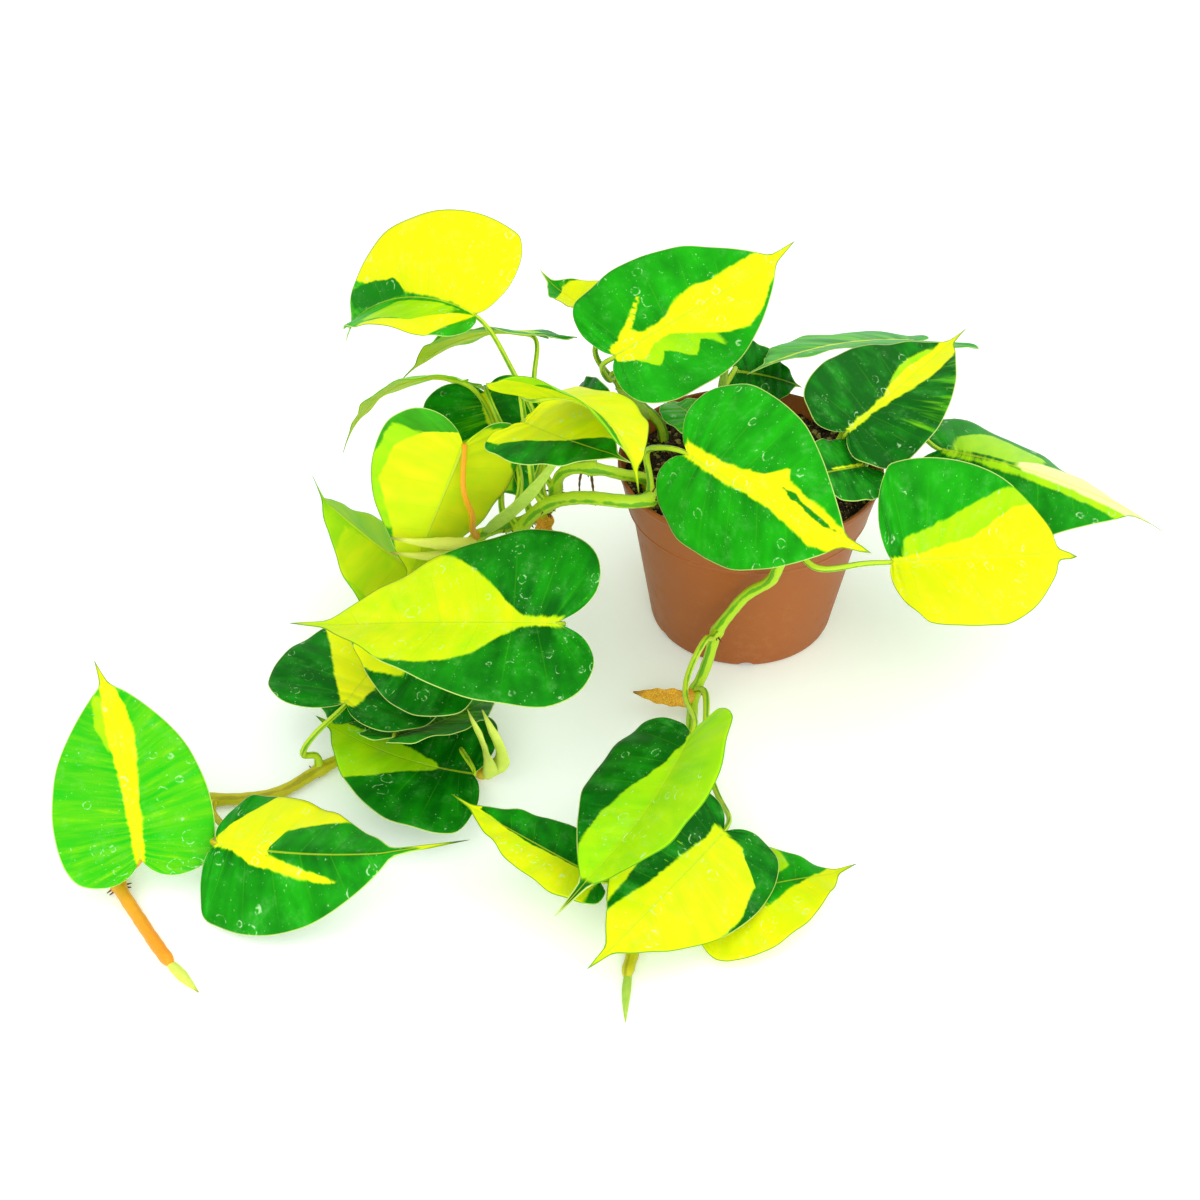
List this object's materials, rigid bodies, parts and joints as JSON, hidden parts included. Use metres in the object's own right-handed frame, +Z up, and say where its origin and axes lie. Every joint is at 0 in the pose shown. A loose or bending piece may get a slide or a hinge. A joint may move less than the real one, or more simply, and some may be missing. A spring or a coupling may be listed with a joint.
{
  "type": "potted philodendron",
  "caption": "Trailing heartleaf philodendron with variegated heart-shaped leaves, growing in a small tapered plastic nursery pot, its vines hanging over the rim onto the ground.",
  "frame": {"origin": "centre of the pot's flat underside, on the ground", "axes": "+Z up; -Y towards the front, the side the picture looks at; +X to the right seen from the front"},
  "size_m": [0.467, 0.3551, 0.1757],
  "materials": {
    "pot": "satin moulded plastic",
    "soil": "loose damp potting mix, rough",
    "stem": "living stem, satin",
    "young_stem": "young green stem, satin",
    "leaf_green": "green and lime variegated leaf, waxy sheen",
    "leaf_dark": "dark green leaf, waxy sheen",
    "leaf_yellow": "lime and yellow variegated leaf, waxy sheen"
  },
  "bodies": {
    "root": {"pot": "pot", "soil": "soil", "stem_left": "stem", "stem_middle": "stem", "stem_front": "stem", "stem_crown_right": "young_stem", "stem_crown_back": "young_stem", "stem_crown_middle": "young_stem", "leaf_pot_front": "leaf_green", "leaf_pot_top": "leaf_green", "leaf_back_right": "leaf_green", "leaf_back_flat": "leaf_green", "leaf_right": "leaf_yellow", "leaf_far_right": "leaf_green", "leaf_pot_small": "leaf_dark", "leaf_pot_back": "leaf_dark", "leaf_pot_young": "leaf_green", "leaf_left_high": "leaf_yellow", "leaf_left_edge": "leaf_green", "leaf_left_lime": "leaf_yellow", "leaf_left_dark": "leaf_dark", "leaf_left_under": "leaf_yellow", "leaf_left_raised": "leaf_yellow", "leaf_left_front": "leaf_green", "leaf_left_low": "leaf_green", "leaf_floor_left": "leaf_green", "leaf_floor_inner": "leaf_green", "leaf_floor_small": "leaf_green", "leaf_floor_front": "leaf_dark", "leaf_end_large": "leaf_green", "leaf_end_front": "leaf_green", "leaf_front_large": "leaf_yellow", "leaf_front_behind": "leaf_yellow", "leaf_front_lower": "leaf_yellow", "leaf_front_right": "leaf_yellow", "leaf_rim_left": "leaf_yellow", "leaf_rim_below": "leaf_yellow", "leaf_rim_dark": "leaf_dark", "leaf_back_left": "leaf_green"}
  },
  "joints": []
}
